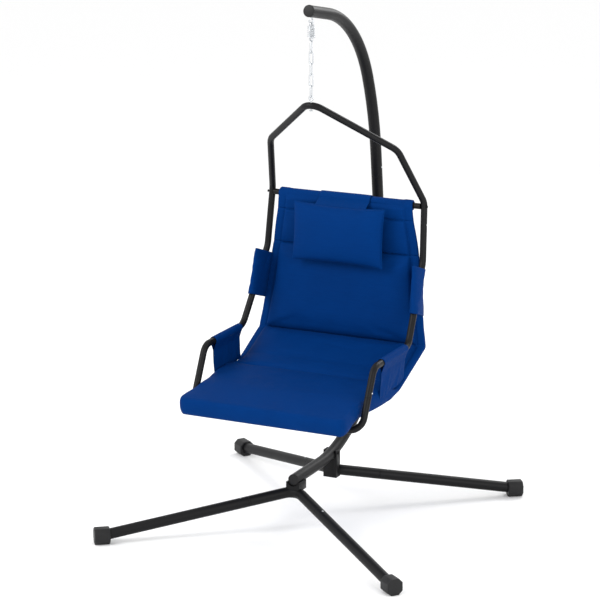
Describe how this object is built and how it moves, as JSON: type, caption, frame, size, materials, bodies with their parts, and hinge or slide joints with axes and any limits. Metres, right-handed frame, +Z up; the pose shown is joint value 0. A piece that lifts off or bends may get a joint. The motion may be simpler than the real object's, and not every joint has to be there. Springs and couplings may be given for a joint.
{
  "type": "hammock on stand",
  "caption": "Padded hammock chair hung by a chain and spring from a C-shaped steel stand on four sloping legs, with armrests and a head pillow.",
  "frame": {"origin": "middle of the footprint, on the floor", "axes": "+Z up, the chair faces -Y, the arm stands behind it on the +Y side"},
  "size_m": [1.2484, 1.255, 1.9423],
  "materials": {
    "black_powder_coat": "satin",
    "zinc": "bright",
    "black_plastic": "matte",
    "blue_cloth": "matte"
  },
  "bodies": {
    "stand": {"arm_eye_bolt": "zinc", "arm_eye_nut": "zinc", "arm_middle_tube": "black_powder_coat", "arm_upper_tube": "black_powder_coat", "arm_lower_snap_button": "zinc", "arm_upper_snap_button": "zinc", "arm_bottom_plug": "black_plastic", "arm_top_plug": "black_plastic", "front_hub_tube": "black_powder_coat", "front_left_leg": "black_powder_coat", "front_left_leg_snap_button": "zinc", "front_left_foot": "black_plastic", "front_right_leg": "black_powder_coat", "front_right_leg_snap_button": "zinc", "front_right_foot": "black_plastic", "rear_hub_tube": "black_powder_coat", "rear_left_leg": "black_powder_coat", "rear_left_leg_snap_button": "zinc", "rear_left_foot": "black_plastic", "rear_right_leg": "black_powder_coat", "rear_right_leg_snap_button": "zinc", "rear_right_foot": "black_plastic", "saddle_bracket": "black_powder_coat", "saddle_bolt": "black_powder_coat", "saddle_nut": "zinc", "cradle_bracket": "black_powder_coat", "cradle_bolt": "black_powder_coat", "cradle_nut": "black_powder_coat", "arm_lower_tube": "black_powder_coat"},
    "spring_top": {"spring_upper_wire": "zinc", "coil_spring": "zinc"},
    "spring_bottom": {"spring_lower_wire": "zinc"},
    "link_1": {"chain_link_1": "zinc"},
    "link_2": {"chain_link_2": "zinc"},
    "link_3": {"chain_link_3": "zinc"},
    "link_4": {"chain_link_4": "zinc"},
    "link_5": {"chain_link_5": "zinc"},
    "seat": {"hanger_eye_bolt": "zinc", "hanger_eye_nut": "zinc", "back_bar": "black_powder_coat", "hanger_tube": "black_powder_coat", "seat_bar": "black_powder_coat", "back_sleeve": "blue_cloth", "seat_sleeve": "blue_cloth", "padded_sling": "blue_cloth", "right_side_tube": "black_powder_coat", "right_upper_snap_button": "zinc", "right_lower_snap_button": "zinc", "right_back_bar_screw": "black_powder_coat", "right_back_loop": "blue_cloth", "right_armrest_panel": "blue_cloth", "left_side_tube": "black_powder_coat", "left_upper_snap_button": "zinc", "left_lower_snap_button": "zinc", "left_back_bar_screw": "black_powder_coat", "left_back_loop": "blue_cloth", "left_armrest_panel": "blue_cloth"},
    "headrest": {"head_pillow": "blue_cloth", "pillow_strap": "blue_cloth"}
  },
  "joints": [
    {"name": "swing_fore_aft", "type": "hinge", "parent": "stand", "child": "spring_top", "pos_m": [0, -0.02813, 1.87282], "axis": [1, 0, 0], "range_deg": [-20, 8]},
    {"name": "spring_stretch", "type": "slide", "parent": "spring_top", "child": "spring_bottom", "axis": [0, 0, -1], "range_m": [0, 0.012], "stiffness_N_per_m": 5000, "springref_m": -0.0282, "deforming": ["coil_spring"]},
    {"name": "swing_sideways", "type": "hinge", "parent": "spring_bottom", "child": "link_1", "pos_m": [0, -0.02813, 1.81263], "axis": [0, 1, 0], "range_deg": [-12, 12]},
    {"name": "chain_twist_1", "type": "hinge", "parent": "link_1", "child": "link_2", "pos_m": [0, -0.02813, 1.77213], "axis": [0, 0, 1], "range_deg": [-22.5, 22.5]},
    {"name": "chain_twist_2", "type": "hinge", "parent": "link_2", "child": "link_3", "pos_m": [0, -0.02813, 1.73163], "axis": [0, 0, 1], "range_deg": [-22.5, 22.5]},
    {"name": "chain_twist_3", "type": "hinge", "parent": "link_3", "child": "link_4", "pos_m": [0, -0.02813, 1.69113], "axis": [0, 0, 1], "range_deg": [-22.5, 22.5]},
    {"name": "chain_twist_4", "type": "hinge", "parent": "link_4", "child": "link_5", "pos_m": [0, -0.02813, 1.65063], "axis": [0, 0, 1], "range_deg": [-22.5, 22.5]},
    {"name": "seat_tilt", "type": "hinge", "parent": "link_5", "child": "seat", "pos_m": [0, -0.02813, 1.61082], "axis": [1, 0, 0], "range_deg": [-6, 6]},
    {"name": "headrest_lift", "type": "hinge", "parent": "seat", "child": "headrest", "pos_m": [0, 0.28087, 1.17182], "axis": [-1, 0, 0], "range_deg": [0, 60]}
  ]
}
